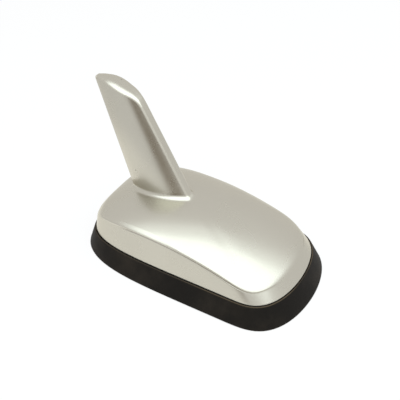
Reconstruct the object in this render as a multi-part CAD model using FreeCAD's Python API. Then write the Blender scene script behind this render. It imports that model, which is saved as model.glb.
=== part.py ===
import FreeCAD, Part
import math
import os

# Decorative roof antenna for a car, in millimetres.
# +X points to the nose, +Y to the left, +Z up; the origin is the middle of the foot of the gasket.

# Foot of the gasket, where it meets the roof
FOOT_NOSE = 55.0
FOOT_TAIL = -55.0
FOOT_HALF_WIDTH = 31.6
WIDEST_X = 26.0
FOOT_POWERS = (3.6, 2.0, 4.8, 3.0)

# Lower ring of the silver shell, where it leaves the gasket
BELT_NOSE_INSET = 6.0
BELT_TAIL_INSET = 4.7
BELT_SIDE_INSET = 4.6
BELT_POWERS = (3.6, 2.0, 5.4, 3.8)
BELT_Z = 10.0

# Crease between the steep rim and the domed roof
CREASE_NOSE_INSET = 4.8
CREASE_TAIL_INSET = 1.5
CREASE_SIDE_INSET = 1.5
CREASE_POWERS = (3.3, 2.0, 5.4, 3.8)
CREASE_PEAK_Z = 26.1
CREASE_FRONT_Z = 14.4
CREASE_TAIL_Z = 18.5
CREASE_NOSE_RISE = 1.4
CREASE_FALL_START = -5.4
CREASE_FALL_END = 36.2
CREASE_BEND = 4.5

# Roof of the shell
ROOF_X = -10.0
ROOF_Z = 32.0
FULLNESS_FRONT = 1.02
FULLNESS_SIDE = 1.1
FULLNESS_SHOULDER = 0.45
FULLNESS_TAIL = 1.35
ROOF_ROWS = (1.0, 0.985, 0.95, 0.88, 0.75, 0.58, 0.4, 0.25, 0.14, 0.07)
RING_STEPS = 56
RING_FINE = 2400

# Shell wall and skirt
WALL = 2.2
SKIRT_BOTTOM = 6.0

# Fin, in side view and in plan
TRAIL_X = -35.95
TRAIL_Z = 25.9
TRAIL_RAKE = 0.314
LEAD_X = -21.8
LEAD_Z = 60.0
LEAD_RAKE = 0.556
FIN_FOOT = 20.0
FIN_SECTION_RISE = 3.3
FIN_HALF_TRAIL = 0.9
FIN_HALF_MIDDLE_FOOT = 6.7
FIN_HALF_MIDDLE_TOP = 4.3
FIN_HALF_LEAD = 1.9
FIN_OVERRUN = 0.02
FIN_SIDE_STEPS = 7
FIN_BLANK = 24.0
FIN_TIP_Z = 80.0
FIN_CREST_AHEAD = 8.04
FIN_CREST_RISE = 1.7
FIN_BROW_DROP = 3.7
FIN_TIP_ROUND = 1.6
FIN_CREST_ROUND = 17.0
FIN_BROW_ROUND = 14.0
FIN_ARC_STEPS = 8
FIN_EDGE_SHARES = (0.008, 0.024, 0.056, 0.12, 0.25, 0.45, 0.7, 1.0)
FIN_EDGE_ROUND = 0.7
FIN_FOOT_ROUND = 1.8
SEAM_TOLERANCE = 0.001
CORE_WALL = 1.6
CORE_TOP = 68.0
CORE_TRAIL_SHARE = 0.22
CORE_LEAD_SHARE = 0.86

# Gasket
GASKET_TOP = 10.3
LIP = 0.5
SHELL_CLEARANCE = 0.15
FLANGE_BOTTOM = 3.4
FLANGE_INSET = 5.2

# Base plate
PLATE_BOTTOM = 1.0
PLATE_TOP = FLANGE_BOTTOM
PLATE_INSET = 4.6
PLATE_CLEARANCE = 0.2

# Adhesive pad
PAD_INSET = 6.0
PAD_WINDOW_RADIUS = 4.2

# Screws and the posts they bite into
SCREW_FRONT_X = 27.0
SCREW_REAR_X = -34.0
SCREW_Y = 13.5
POST_RADIUS = 3.4
PILOT_DEPTH = 9.0
PILOT_CLEARANCE = 0.1
SHANK_RADIUS = 1.35
SHANK_LENGTH = 9.0
HEAD_RADIUS = 2.7
HEAD_DEPTH = 1.5
HOLE_CLEARANCE = 0.25
SLOT_WIDTH = 0.8
SLOT_LENGTH = 3.2
SLOT_DEPTH = 0.9

# Worked out from the sizes above
BELT_NOSE = FOOT_NOSE - BELT_NOSE_INSET
BELT_TAIL = FOOT_TAIL + BELT_TAIL_INSET
BELT_HALF_WIDTH = FOOT_HALF_WIDTH - BELT_SIDE_INSET
CREASE_NOSE = BELT_NOSE - CREASE_NOSE_INSET
CREASE_TAIL = BELT_TAIL + CREASE_TAIL_INSET
CREASE_HALF_WIDTH = BELT_HALF_WIDTH - CREASE_SIDE_INSET
FIN_CREST_Z = FIN_TIP_Z + FIN_CREST_RISE
FIN_BROW_Z = FIN_TIP_Z - FIN_BROW_DROP
FIN_SECTION_TOP = FIN_TIP_Z + FIN_SECTION_RISE
UP = FreeCAD.Vector(0, 0, 1)


def vector(x, y, z):
    return FreeCAD.Vector(x, y, z)


def ring(nose, tail, half_width, powers):
    """Points of a rounded-oblong ring, evenly spaced, counted from the nose through +Y."""
    nose_x, nose_y, tail_x, tail_y = powers
    fine = []
    for step in range(RING_FINE + 1):
        angle = math.pi * step / RING_FINE
        across = math.sin(angle) if step < RING_FINE else 0.0
        along = math.cos(angle)
        if along >= 0:
            x = WIDEST_X + (nose - WIDEST_X) * along ** (2 / nose_x)
            y = half_width * across ** (2 / nose_y)
        else:
            x = WIDEST_X - (WIDEST_X - tail) * (-along) ** (2 / tail_x)
            y = half_width * across ** (2 / tail_y)
        fine.append((x, y))
    travel = [0.0]
    for before, after in zip(fine, fine[1:]):
        travel.append(travel[-1] + math.hypot(after[0] - before[0], after[1] - before[1]))
    half = RING_STEPS // 2
    points = []
    place = 0
    for number in range(half + 1):
        wanted = travel[-1] * number / half
        while place < RING_FINE - 1 and travel[place + 1] < wanted:
            place += 1
        share = (wanted - travel[place]) / (travel[place + 1] - travel[place])
        before, after = fine[place], fine[place + 1]
        points.append((before[0] + share * (after[0] - before[0]), before[1] + share * (after[1] - before[1])))
    mirrored = [(x, -y) for x, y in reversed(points[1:-1])]
    return points + mirrored


def foot_ring(inset):
    return ring(FOOT_NOSE - inset, FOOT_TAIL + inset, FOOT_HALF_WIDTH - inset, FOOT_POWERS)


def belt_ring(inset):
    return ring(BELT_NOSE - inset, BELT_TAIL + inset, BELT_HALF_WIDTH - inset, BELT_POWERS)


def crease_ring(inset):
    return ring(CREASE_NOSE - inset, CREASE_TAIL + inset, CREASE_HALF_WIDTH - inset, CREASE_POWERS)


def ramp(distance):
    """Zero before the bend, the distance itself after it, softly joined."""
    return CREASE_BEND * math.log1p(math.exp(min(distance / CREASE_BEND, 60.0)))


def crease_height(x):
    fall = (CREASE_PEAK_Z - CREASE_FRONT_Z) / (CREASE_FALL_END - CREASE_FALL_START)
    height = CREASE_PEAK_Z - fall * (ramp(x - CREASE_FALL_START) - ramp(x - CREASE_FALL_END))
    behind = max(0.0, CREASE_FALL_START - x) / (CREASE_FALL_START - CREASE_TAIL)
    ahead = max(0.0, x - CREASE_FALL_END) / (CREASE_NOSE - CREASE_FALL_END)
    return height - (CREASE_PEAK_Z - CREASE_TAIL_Z) * behind ** 2 + CREASE_NOSE_RISE * ahead ** 2


def closed_wire(points):
    """Smooth closed wire through points spaced evenly in its own travel."""
    curve = Part.BSplineCurve()
    steps = [number / len(points) for number in range(len(points) + 1)]
    curve.interpolate(Points=points, PeriodicFlag=True, Parameters=steps)
    return Part.Wire([curve.toShape()])


def flat_wire(points, z):
    return closed_wire([vector(x, y, z) for x, y in points])


def slab(points, bottom, top):
    """Straight-walled solid on a plan ring."""
    return Part.Face(flat_wire(points, bottom)).extrude(vector(0, 0, top - bottom))


def roof_row(rim, share, inset):
    """One ring of the roof, at a share of the way out from its top to the crease."""
    points = []
    for x, y in rim:
        reach_x = x - ROOF_X
        facing = reach_x / math.hypot(reach_x, y)
        if facing > 0:
            diagonal = 2 * facing * abs(y) / math.hypot(reach_x, y)
            fullness = FULLNESS_SIDE + (FULLNESS_FRONT - FULLNESS_SIDE) * facing ** 1.5
            fullness += FULLNESS_SHOULDER * diagonal ** 6
        else:
            fullness = FULLNESS_SIDE + (FULLNESS_TAIL - FULLNESS_SIDE) * (-facing) ** 3
        low = crease_height(x) - inset
        high = ROOF_Z - inset
        z = low + (high - low) * (1 - share ** 2) ** (1 / fullness)
        points.append(vector(ROOF_X + share * reach_x, share * y, z))
    return points


def body(inset, bottom):
    """Rim and roof as one solid; an inset gives the hollow inside them."""
    rim = crease_ring(inset)
    crease = closed_wire(roof_row(rim, 1.0, inset))
    foot = flat_wire(belt_ring(inset), bottom)
    belt = flat_wire(belt_ring(inset), BELT_Z)
    rows = [crease]
    rows += [closed_wire(roof_row(rim, share, inset)) for share in ROOF_ROWS[1:]]
    skirt = Part.makeLoft([foot, belt], False, True)
    flank = Part.makeLoft([belt, crease], False, True)
    roof = Part.makeLoft(rows + [Part.Vertex(ROOF_X, 0, ROOF_Z - inset)], False, False)
    floor = Part.Face(foot)
    shell = Part.Shell(skirt.Faces + flank.Faces + roof.Faces + [floor])
    shell.sewShape()
    solid = Part.Solid(shell)
    solid.fix(0.001, 0.001, 0.001)
    if solid.Volume < 0:
        solid.reverse()
    return solid


def trail_x(z):
    return TRAIL_X - (z - TRAIL_Z) * TRAIL_RAKE


def lead_x(z):
    return LEAD_X + (LEAD_Z - z) * LEAD_RAKE


def fin_section(z, middle, thinner, start, end):
    """Left side of the lens-shaped section of the fin at a height."""
    back = trail_x(z)
    chord = lead_x(z) - back
    bulge = middle - (FIN_HALF_TRAIL + FIN_HALF_LEAD) / 2
    left = []
    for step in range(FIN_SIDE_STEPS):
        share = start + (end - start) * step / (FIN_SIDE_STEPS - 1)
        half = FIN_HALF_TRAIL + (FIN_HALF_LEAD - FIN_HALF_TRAIL) * share + bulge * 4 * share * (1 - share)
        left.append((back + chord * share, half - thinner))
    return left


def fin_lens(thinner, start, end, low, high):
    sections = []
    for z in (low, high):
        rise = (z - FIN_FOOT) / (FIN_SECTION_TOP - FIN_FOOT)
        middle = FIN_HALF_MIDDLE_FOOT + (FIN_HALF_MIDDLE_TOP - FIN_HALF_MIDDLE_FOOT) * rise
        left = fin_section(z, middle, thinner, start, end)
        flank = Part.BSplineCurve()
        flank.interpolate([vector(x, y, z) for x, y in left])
        other = Part.BSplineCurve()
        other.interpolate([vector(x, -y, z) for x, y in reversed(left)])
        front = Part.makeLine(vector(left[-1][0], left[-1][1], z), vector(left[-1][0], -left[-1][1], z))
        back = Part.makeLine(vector(left[0][0], -left[0][1], z), vector(left[0][0], left[0][1], z))
        sections.append(Part.Wire([flank.toShape(), front, other.toShape(), back]))
    return Part.makeLoft(sections, True, True)


def round_corner(before, corner, after, radius):
    """Points of the arc that rounds one corner of the side view."""
    inward = (before - corner).normalize()
    outward = (after - corner).normalize()
    half = inward.getAngle(outward) / 2
    middle = corner + (inward + outward).normalize() * (radius / math.sin(half))
    start = corner + inward * (radius / math.tan(half)) - middle
    end = corner + outward * (radius / math.tan(half)) - middle
    sweep = math.pi - 2 * half
    points = []
    for step in range(FIN_ARC_STEPS + 1):
        turned = sweep * step / FIN_ARC_STEPS
        points.append(middle + (start * math.sin(sweep - turned) + end * math.sin(turned)) / math.sin(sweep))
    return points


def fin_solid():
    """Side view of the fin carried across, cut to the lens and rounded along its edge."""
    trail_foot = vector(trail_x(FIN_FOOT), 0, FIN_FOOT)
    tip = vector(trail_x(FIN_TIP_Z), 0, FIN_TIP_Z)
    crest = vector(tip.x + FIN_CREST_AHEAD, 0, FIN_CREST_Z)
    brow = vector(lead_x(FIN_BROW_Z), 0, FIN_BROW_Z)
    lead_foot = vector(lead_x(FIN_FOOT), 0, FIN_FOOT)
    top = round_corner(trail_foot, tip, crest, FIN_TIP_ROUND)
    top += round_corner(tip, crest, brow, FIN_CREST_ROUND)
    top += round_corner(crest, brow, lead_foot, FIN_BROW_ROUND)
    trail = [top[0] + (trail_foot - top[0]) * share for share in reversed(FIN_EDGE_SHARES)]
    lead = [top[-1] + (lead_foot - top[-1]) * share for share in FIN_EDGE_SHARES]
    edge = Part.BSplineCurve()
    edge.interpolate(Points=trail + top + lead, InitialTangent=vector(-TRAIL_RAKE, 0, 1),
                     FinalTangent=vector(LEAD_RAKE, 0, -1))
    outline = Part.Wire([edge.toShape(), Part.makeLine(lead_foot, trail_foot)])
    blade = Part.Face(outline).extrude(vector(0, FIN_BLANK, 0))
    blade.translate(vector(0, -FIN_BLANK / 2, 0))
    lens = fin_lens(0.0, -FIN_OVERRUN, 1 + FIN_OVERRUN, FIN_FOOT - 1, FIN_SECTION_TOP)
    fin = blade.common(lens).Solids[0]
    edges = []
    for edge in fin.Edges:
        middle = edge.valueAt((edge.FirstParameter + edge.LastParameter) / 2)
        if middle.z > FIN_FOOT + 0.5:
            edges.append(edge)
    return fin.makeFillet(FIN_EDGE_ROUND, edges)


def post_places():
    places = []
    for x in (SCREW_FRONT_X, SCREW_REAR_X):
        for y in (-SCREW_Y, SCREW_Y):
            places.append((x, y))
    return places


def shell_solid():
    """Rim, roof and fin as one hollow moulding with four posts under the roof."""
    roof = body(0.0, SKIRT_BOTTOM)
    fin = fin_solid()
    moulding = round_fin_foot(roof.fuse(fin).Solids[0], roof, fin)
    core = fin_lens(CORE_WALL, CORE_TRAIL_SHARE, CORE_LEAD_SHARE, FIN_FOOT, CORE_TOP)
    hollow = body(WALL, SKIRT_BOTTOM).fuse(core)
    for x, y in post_places():
        hollow = hollow.cut(Part.makeCylinder(POST_RADIUS, ROOF_Z, vector(x, y, 0), UP))
    moulding = moulding.cut(hollow)
    for x, y in post_places():
        foot = Part.makeCylinder(POST_RADIUS, SKIRT_BOTTOM - PLATE_TOP, vector(x, y, PLATE_TOP), UP)
        pilot = Part.makeCylinder(SHANK_RADIUS + PILOT_CLEARANCE, PILOT_DEPTH, vector(x, y, PLATE_TOP), UP)
        moulding = moulding.fuse(foot).cut(pilot)
    return moulding.removeSplitter()


def round_fin_foot(moulding, roof, fin):
    """Rounding along the edges where the fin meets the roof."""
    edges = []
    for edge in moulding.Edges:
        middle = Part.Vertex(edge.valueAt((edge.FirstParameter + edge.LastParameter) / 2))
        from_roof = middle.distToShape(roof.Shells[0])[0]
        from_fin = middle.distToShape(fin.Shells[0])[0]
        if max(from_roof, from_fin) < SEAM_TOLERANCE:
            edges.append(edge)
    return moulding.makeFillet(FIN_FOOT_ROUND, edges)


def gasket_solid():
    lip_ring = belt_ring(-SHELL_CLEARANCE - LIP)
    outside = Part.makeLoft([flat_wire(foot_ring(0.0), 0.0), flat_wire(lip_ring, GASKET_TOP)], True, True)
    seat = slab(belt_ring(-SHELL_CLEARANCE), SKIRT_BOTTOM, GASKET_TOP + 1)
    opening = slab(belt_ring(FLANGE_INSET), -1.0, GASKET_TOP)
    recess = slab(foot_ring(PLATE_INSET - PLATE_CLEARANCE), -1.0, PLATE_TOP)
    return outside.cut(seat).cut(opening).cut(recess)


def plate_solid():
    plate = slab(foot_ring(PLATE_INSET), PLATE_BOTTOM, PLATE_TOP)
    for x, y in post_places():
        hole = Part.makeCylinder(SHANK_RADIUS + HOLE_CLEARANCE, PLATE_TOP, vector(x, y, 0), UP)
        sink = Part.makeCone(HEAD_RADIUS, SHANK_RADIUS, HEAD_DEPTH, vector(x, y, PLATE_BOTTOM), UP)
        plate = plate.cut(hole).cut(sink)
    return plate


def screw_solid(x, y):
    head = Part.makeCone(HEAD_RADIUS, SHANK_RADIUS, HEAD_DEPTH, vector(x, y, PLATE_BOTTOM), UP)
    shank = Part.makeCylinder(SHANK_RADIUS, SHANK_LENGTH - SHANK_RADIUS, vector(x, y, PLATE_BOTTOM + HEAD_DEPTH), UP)
    tip_z = PLATE_BOTTOM + HEAD_DEPTH + SHANK_LENGTH - SHANK_RADIUS
    tip = Part.makeCone(SHANK_RADIUS, SHANK_RADIUS / 4, SHANK_RADIUS, vector(x, y, tip_z), UP)
    screw = head.fuse(shank).fuse(tip).removeSplitter()
    for length, width in ((SLOT_LENGTH, SLOT_WIDTH), (SLOT_WIDTH, SLOT_LENGTH)):
        corner = vector(x - length / 2, y - width / 2, PLATE_BOTTOM)
        screw = screw.cut(Part.makeBox(length, width, SLOT_DEPTH, corner))
    return screw


def pad_solid():
    pad = slab(foot_ring(PAD_INSET), 0.0, PLATE_BOTTOM)
    for x, y in post_places():
        pad = pad.cut(Part.makeCylinder(PAD_WINDOW_RADIUS, PLATE_BOTTOM, vector(x, y, 0), UP))
    return pad


os.makedirs("parts", exist_ok=True)
nodes = {
    "antenna_shell": shell_solid(),
    "rubber_gasket": gasket_solid(),
    "base_plate": plate_solid(),
    "plate_screws": Part.makeCompound([screw_solid(x, y) for x, y in post_places()]),
    "adhesive_pad": pad_solid(),
}
for name, shape in nodes.items():
    box = shape.BoundBox
    print(name, len(shape.Solids), shape.isValid(), round(shape.Volume, 1),
          [round(v, 2) for v in (box.XMin, box.XMax, box.YMin, box.YMax, box.ZMin, box.ZMax)])
    shape.exportStep("parts/" + name + ".step")
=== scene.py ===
import bisect
import math

import bmesh
import bpy
from bpy.props import FloatProperty, FloatVectorProperty, PointerProperty
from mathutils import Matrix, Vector


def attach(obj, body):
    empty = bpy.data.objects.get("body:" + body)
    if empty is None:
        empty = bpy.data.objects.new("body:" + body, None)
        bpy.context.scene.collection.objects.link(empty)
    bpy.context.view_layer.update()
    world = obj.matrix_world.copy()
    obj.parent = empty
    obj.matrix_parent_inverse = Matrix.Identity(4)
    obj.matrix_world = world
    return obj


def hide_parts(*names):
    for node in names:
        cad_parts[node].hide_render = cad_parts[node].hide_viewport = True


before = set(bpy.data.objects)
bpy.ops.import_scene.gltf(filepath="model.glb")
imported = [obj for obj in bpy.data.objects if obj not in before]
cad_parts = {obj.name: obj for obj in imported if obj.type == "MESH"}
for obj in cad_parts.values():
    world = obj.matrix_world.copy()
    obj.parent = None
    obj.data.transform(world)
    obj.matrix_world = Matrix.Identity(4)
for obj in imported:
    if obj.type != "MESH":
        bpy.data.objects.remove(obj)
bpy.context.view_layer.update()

bl_info = {
    "name": "Decorative roof antenna",
    "version": (1, 0, 0),
    "blender": (4, 5, 0),
    "location": "View3D > Sidebar > Antenna",
    "description": "Builds a silver roof antenna with a raked fin on a black rubber gasket",
    "category": "Add Mesh",
}

# Mesh density: columns over half a ring of the shell, and rows between its edges
BAND_FLAT = 2
BAND_ARC = 6
BAND = BAND_FLAT + BAND_ARC
SIDE = 72
HALF = 2 * BAND + SIDE
ROUND_ROWS = 5
RIM_ROWS = 10
GROOVE_ROWS = 8
CREASE_ROWS = 8
ROOF_ROWS = 44
FOOT_ROWS = 8
FOOT_PASSES = 5
FIN_ROWS = 60
ARC_STEPS = 24
FLANK_ROWS = 12
SHOULDER_ROWS = 4
FINE = 2400
SCREW_COLUMNS = 48
HEAD_RINGS = 13
THREAD_RINGS = 84

# Rows inside the roof, as shares from its middle to the crease, and how points crowd at the fin's edges
INSIDE_SHARES = (0.08, 0.3, 0.55, 0.75, 0.9, 0.97)
SIDE_CROWDING = 0.5
TOP_CROWDING = 1.5

# Distances under which points merge, edges collapse and bends are measured no finer
MERGE = 1e-7
FLATTEN = 1e-8
SHORTEST = 1e-6

# How quickly the roof's fullness changes round the nose and the tail, and the largest exponent of its ramp
NOSE_SPREAD = 1.5
TAIL_SPREAD = 3
RAMP_LIMIT = 60.0

# Where the crease's softness, its groove, the painted shade under the crease and the painted highlight on
# the gasket's lip come and go, along the object or out to its side, and how strong that highlight is
TAIL_SOFT = (-0.038, -0.047)
NOSE_SOFT = (0.030, 0.036)
NOSE_SIDE = (0.010, 0.021)
REAR_START = (-0.047, -0.026)
REAR_END = (-0.012, 0.006)
GROOVE_START = (-0.034, -0.016)
GROOVE_END = (0.026, 0.037)
CREASE_SHADE_START = (-0.016, 0.012)
LIP_HIGHLIGHT_START = (-0.008, 0.028)
LIP_HIGHLIGHT_SIDE = (0.002, 0.014)
LIP_HIGHLIGHT = 0.55

# Shares of the rim's height: at most for the crease, at most with the groove, and for the rounding below
CREASE_MOST = 0.5
GROOVE_MOST = 0.8
RIM_FOOT = 0.05

# Makes the groove's cut one where it is deepest
CUT_SCALE = 6.75

# Fin edges: how far the outline faces up where the top's rounding takes over, and the largest rounding
TOP_FACING = (0.40, 0.85)
EDGE_MOST = 0.80
PROBE = 0.0005

# Straight part of the gasket's flank, and the top of its lip, as shares
FLANK = (0.07, 0.95)
CROWN = 0.45

# Screws, as shares: walls and ends of the recess, face of the head, ridge and end of the thread
RECESS_WALL = (0.42, 0.58)
RECESS_END = 0.75
HEAD_MIDDLE = 0.04
HEAD_RIM = 0.97
RIDGE = 0.3
THREAD_END = 0.985
THREAD_TIP = 0.15

# How sharply a surface bends, in 1/m, where paint is worn and gets a painted highlight, where grooves get
# painted shade and where rubber gets a painted highlight
WORN_AND_HIGHLIT_BEND = (350.0, 1500.0)
GROOVE_SHADE_BEND = (700.0, 2600.0)
HIGHLIT_EDGE_BEND = (600.0, 2500.0)

# Floor, with what reflections show of it: bright near the object, dim between two angles in radians
WHITE = (1.0, 1.0, 1.0, 1.0)
FLOOR_DROP = 0.0002
FLOOR_MATTE = (0.90, 0.90, 0.90, 1.0)
FLOOR_GLOW = 0.88
NEAR_GLOW = (1.28, 1.28, 1.25, 1.0)
NEAR_REACH = (0.075, 0.120)
DIM_CENTRE = (-0.012, -0.005)
DIM_FROM = (-0.06, 0.11)
DIM_TO = (0.37, 0.55)
DIM_REACH = (0.080, 0.130)


def length(name, description, default):
    return FloatProperty(name=name, description=description, default=default, unit="LENGTH", precision=5)


def plain(name, description, default):
    return FloatProperty(name=name, description=description, default=default, precision=3)


def colour(name, description, default):
    return FloatVectorProperty(name=name, description=description, default=default, subtype="COLOR",
                               size=3, min=0.0, max=1.0)


def lengths(name, description, default):
    return FloatVectorProperty(name=name, description=description, default=default, unit="LENGTH",
                               size=len(default))


def powers(name, description, default):
    return FloatVectorProperty(name=name, description=description, default=default, size=4)


class AntennaFootSizes(bpy.types.PropertyGroup):
    """Outline of the gasket where it lies on the car's roof."""
    nose: length("Nose", "How far the foot reaches forward", 0.055)
    tail: length("Tail", "Where the foot ends behind", -0.055)
    half_width: length("Half width", "Half the width of the foot", 0.0316)
    widest_x: length("Widest point", "Where the foot is widest", 0.026)
    bend: powers("Bend", "Fullness of the nose and of the tail, along and across", (3.6, 2.0, 4.8, 3.0))


class AntennaShellSizes(bpy.types.PropertyGroup):
    """Rim, crease and roof of the silver shell."""
    belt_nose: length("Belt nose", "Belt behind the foot's nose", 0.0060)
    belt_tail: length("Belt tail", "Belt ahead of the foot's tail", 0.0047)
    belt_side: length("Belt side", "Belt inside the foot's side", 0.0046)
    belt_bend: powers("Belt bend", "Fullness of the belt ring", (3.6, 2.0, 5.4, 3.8))
    belt_z: length("Belt height", "Where the shell leaves the gasket", 0.010)
    skirt_z: length("Skirt foot", "Lower edge of the shell, inside the gasket", 0.006)
    tuck: length("Tuck", "How far the skirt sits inside the rim", 0.0004)
    wall: length("Wall", "Thickness of the moulding", 0.0022)
    crease_nose: length("Crease nose", "Crease behind the belt's nose", 0.0048)
    crease_tail: length("Crease tail", "Crease ahead of the belt's tail", 0.0015)
    crease_side: length("Crease side", "Crease inside the belt's side", 0.0014)
    crease_widest: length("Crease widest", "Where the crease ring is widest", 0.020)
    crease_bend: powers("Crease bend", "Fullness of the crease ring", (4.37, 2.0, 5.4, 3.8))
    crease_peak: length("Crease peak", "Highest point of the crease", 0.0249)
    peak_x: length("Peak place", "Where the crease is highest", -0.0165)
    crease_front: length("Crease front", "Height of the crease at the front corners", 0.01454)
    corner_x: length("Front corners", "Where the crease stops falling", 0.037)
    corner_bend: length("Corner bend", "Softness of the turn at the front corners", 0.0015)
    crease_mid: length("Crease middle", "Height of the crease over the nose", 0.0158)
    crease_back: length("Crease back", "Height of the crease at the tail", 0.0185)
    roof_x: length("Roof top", "Where the roof is highest", -0.010)
    roof_z: length("Roof height", "Height of the roof", 0.032)
    full_front: plain("Front fullness", "Fullness of the roof towards the nose", 1.004)
    full_side: plain("Side fullness", "Fullness of the roof towards the sides", 1.2)
    full_shoulder: plain("Shoulder fullness", "Extra fullness half way from nose to side", 0.117)
    full_tail: plain("Tail fullness", "Fullness of the roof towards the tail", 1.35)
    edge_soft: length("Edge", "Softness of the crease", 0.0004)
    edge_rear: length("Rear edge", "Rounding of the roof along the rear of the crease", 0.0014)
    edge_tail: length("Tail edge", "Softness of the crease round the tail", 0.0034)
    edge_nose: length("Nose edge", "Softness of the crease round the nose", 0.0011)
    groove_depth: length("Groove depth", "Depth of the fine groove under the crease", 0.0003)
    groove_height: length("Groove height", "Height of the fine groove under the crease", 0.0011)


class AntennaFinSizes(bpy.types.PropertyGroup):
    """Raked blade fin."""
    trail_x: length("Trailing foot", "Where the trailing edge meets the roof", -0.03595)
    trail_z: length("Trailing foot height", "Height of that point", 0.0259)
    trail_rake: plain("Trailing rake", "Lean of the trailing edge", 0.314)
    lead_x: length("Leading edge", "A point on the leading edge", -0.0218)
    lead_z: length("Leading edge height", "Height of that point", 0.060)
    lead_rake: plain("Leading rake", "Lean of the leading edge", 0.556)
    base_z: length("Section foot", "Where the fin's sections start", 0.020)
    section_rise: length("Section top", "Where the sections end, above the tip", 0.0033)
    half_trail: length("Trailing half", "Half the thickness of the trailing edge", 0.0009)
    half_lead: length("Leading half", "Half the width of the leading face", 0.0019)
    half_foot: length("Foot half", "Half the thickness in the middle, at the foot", 0.0067)
    half_top: length("Top half", "Half the thickness in the middle, at the top", 0.0043)
    tip_z: length("Tip", "Height of the rear tip", 0.0800)
    crest_ahead: length("Crest ahead", "Crest ahead of the tip", 0.00804)
    crest_rise: length("Crest rise", "Crest above the tip", 0.0017)
    brow_drop: length("Brow drop", "Front corner below the tip", 0.0037)
    tip_round: length("Tip rounding", "Rounding of the tip in side view", 0.0016)
    crest_round: length("Crest rounding", "Rounding of the crest in side view", 0.017)
    brow_round: length("Brow rounding", "Rounding of the front corner in side view", 0.014)
    edge_front: length("Front edges", "Rounding along the leading face", 0.0011)
    edge_top: length("Top edges", "Rounding along the top", 0.0030)
    foot_round: length("Foot rounding", "Rounding where the fin meets the roof", 0.0018)


class AntennaGasketSizes(bpy.types.PropertyGroup):
    """Flared rubber ring."""
    top: length("Top", "Height of the lip", 0.0099)
    lip: length("Lip", "Thickness of the lip", 0.0005)
    clearance: length("Clearance", "Gap between lip and shell", 0.00015)
    flange_bottom: length("Flange underside", "Underside of the inner flange", 0.0034)
    flange_inset: length("Flange reach", "How far the flange reaches in", 0.0052)
    plate_inset: length("Recess", "Recess for the plate, inside the foot", 0.0044)
    tread: length("Tread", "Rounding at the foot", 0.0009)
    shoulder: length("Shoulder", "Rounding of the lip's inner edge", 0.0003)


class AntennaScrewSizes(bpy.types.PropertyGroup):
    """Countersunk self-tapping screws under the plate."""
    front_x: length("Front pair", "Where the front pair sits", 0.027)
    rear_x: length("Rear pair", "Where the rear pair sits", -0.034)
    half_gap: length("Half spacing", "Half the distance across a pair", 0.0135)
    seat_z: length("Seat", "Height of the heads' faces", 0.001)
    head_radius: length("Head radius", "Radius of the head", 0.0027)
    head_depth: length("Head depth", "Height of the countersink", 0.0015)
    head_edge: length("Head edge", "Height of the head's rim", 0.00006)
    shank_radius: length("Shank radius", "Outer radius of the thread", 0.00135)
    core_radius: length("Core radius", "Inner radius of the thread", 0.00105)
    shank_length: length("Shank length", "Length below the head", 0.009)
    pitch: length("Pitch", "Rise of one turn of the thread", 0.0011)
    recess_depth: length("Recess depth", "Depth of the cross recess", 0.0009)
    recess_width: length("Recess width", "Width of one arm of the cross", 0.0008)
    recess_reach: length("Recess reach", "Half the length of the cross", 0.0016)


class AntennaFinishes(bpy.types.PropertyGroup):
    """Colours of the finishes, with painted shade and painted highlights."""
    silver: colour("Silver paint", "Metallic paint of the shell", (0.468, 0.443, 0.380))
    rubber: colour("Rubber", "Gasket", (0.0074, 0.0054, 0.0037))
    plastic: colour("Plastic", "Base plate", (0.022, 0.022, 0.022))
    steel: colour("Steel", "Screws", (0.55, 0.55, 0.53))
    foam: colour("Foam", "Adhesive pad", (0.10, 0.10, 0.10))
    sheen: colour("Sheen", "Tint of the paint's own gloss", (0.86, 0.83, 0.76))
    # Painted shade for the paint in grooves
    painted_groove_shade: colour("Shade", "Paint in grooves", (0.09, 0.07, 0.05))
    # Painted shade under the crease
    painted_shading: colour("Soil", "Soil under the crease", (0.15, 0.115, 0.075))
    speck: colour("Speck", "Dust specks on the paint", (0.10, 0.08, 0.06))
    # Painted highlight along the gasket's lip
    lip_highlight: colour("Dust", "Dust on the gasket's lip", (0.12, 0.085, 0.050))


class AntennaStage(bpy.types.PropertyGroup):
    """Floor, lamps and camera."""
    azimuth: plain("Azimuth", "Camera round the object, in degrees", 30.10)
    elevation: plain("Elevation", "Camera above the horizon, in degrees", 39.33)
    distance: length("Distance", "Camera to the point it looks at", 0.320)
    aim: lengths("Aim", "Point that the camera looks at", (-0.00176, 0.0, 0.03194))
    lens: plain("Lens", "Focal length in millimetres", 65.775)
    floor_size: length("Floor", "Half the side of the floor", 3.0)
    key_power: plain("Key lamp", "Power of the large soft lamp, in watts", 11.6)
    halo_power: plain("Halo lamp", "Power of the wider, fainter panel round the lamp, in watts", 6.0)
    halo_reach: length("Halo reach", "How far the fainter panel reaches past the lamp", 0.16)
    key_tint: colour("Key tint", "Colour of the large soft lamp", (0.82, 0.95, 1.0))
    key_size: lengths("Key size", "Length and width of the lamp", (1.7, 1.2))
    key_place: lengths("Key place", "Middle of the lamp", (0.408, -0.419, 0.65))
    key_turn: plain("Key turn", "Turn of the lamp about the upright axis, in degrees", 41.6)
    sky: plain("Surround", "Strength of the even light all round", 0.55)
    dim_patch: colour("Dim patch", "What reflections show of part of the floor", (0.17, 0.10, 0.03))


GROUPS = {
    "antenna_foot": AntennaFootSizes,
    "antenna_shell": AntennaShellSizes,
    "antenna_fin": AntennaFinSizes,
    "antenna_gasket": AntennaGasketSizes,
    "antenna_screws": AntennaScrewSizes,
    "antenna_finishes": AntennaFinishes,
    "antenna_stage": AntennaStage,
}


# Plan rings

def between(first, second, share):
    return first + (second - first) * share


def mix(first, second, share):
    return tuple(between(a, b, share) for a, b in zip(first, second))


def find(steps, wanted):
    """Which step of a rising list holds a value, and how far along that step the value lies."""
    place = min(max(bisect.bisect_right(steps, wanted) - 1, 0), len(steps) - 2)
    return place, (wanted - steps[place]) / (steps[place + 1] - steps[place])


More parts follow.
